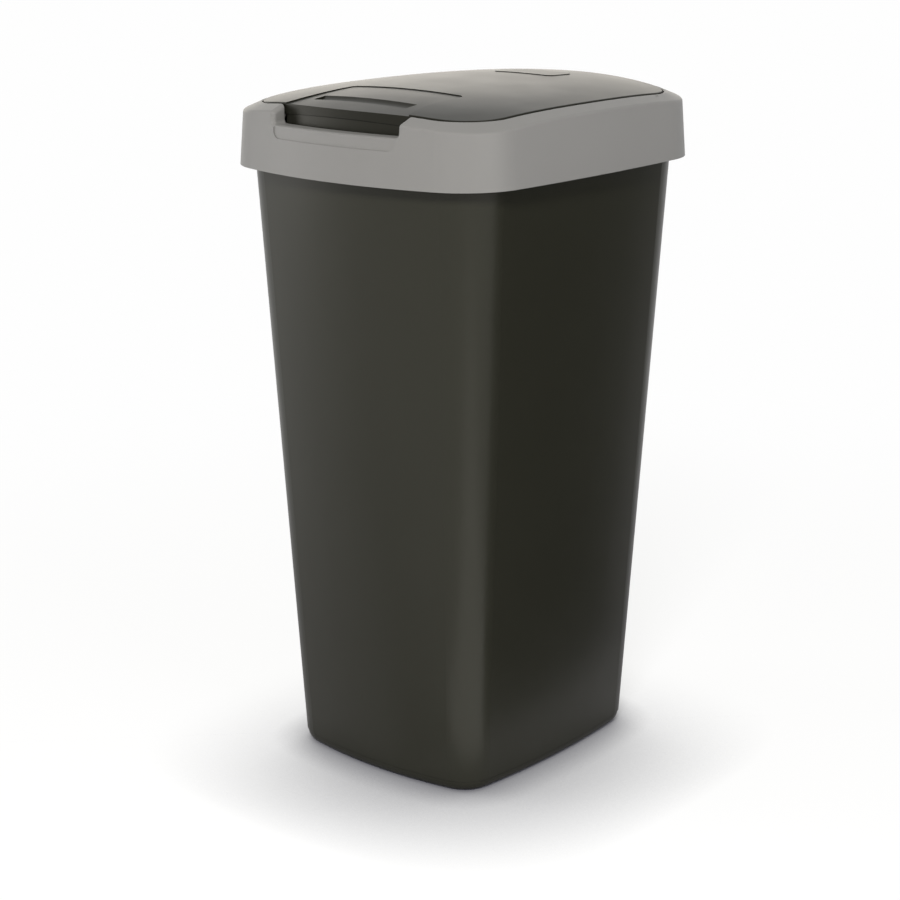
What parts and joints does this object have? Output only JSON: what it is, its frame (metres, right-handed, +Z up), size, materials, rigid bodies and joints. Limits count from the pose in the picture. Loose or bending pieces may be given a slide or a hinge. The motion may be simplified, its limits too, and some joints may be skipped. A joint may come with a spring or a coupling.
{
  "type": "trash can",
  "caption": "Tall tapered kitchen bin with a lift-off rim frame and a crowned lid that flips up from a finger notch at the front.",
  "frame": {"origin": "centre of the base, on the floor", "axes": "+Z up, -Y towards the front with the finger notch, +X to the right seen from the front"},
  "size_m": [0.298, 0.3586, 0.6063],
  "materials": {
    "bucket": "semi-gloss moulded polypropylene",
    "rim_frame": "fine satin moulded polypropylene",
    "lid": "fine satin moulded polypropylene"
  },
  "bodies": {
    "bucket": {"bucket": "bucket"},
    "rim": {"rim_frame": "rim_frame"},
    "lid": {"lid": "lid"}
  },
  "joints": [
    {"name": "rim_lift", "type": "slide", "parent": "bucket", "child": "rim", "axis": [0, 0, 1], "range_m": [0, 0.08]},
    {"name": "lid_hinge", "type": "hinge", "parent": "rim", "child": "lid", "pos_m": [0, 0.1, 0.5875], "axis": [-1, 0, 0], "range_deg": [0, 95]}
  ]
}
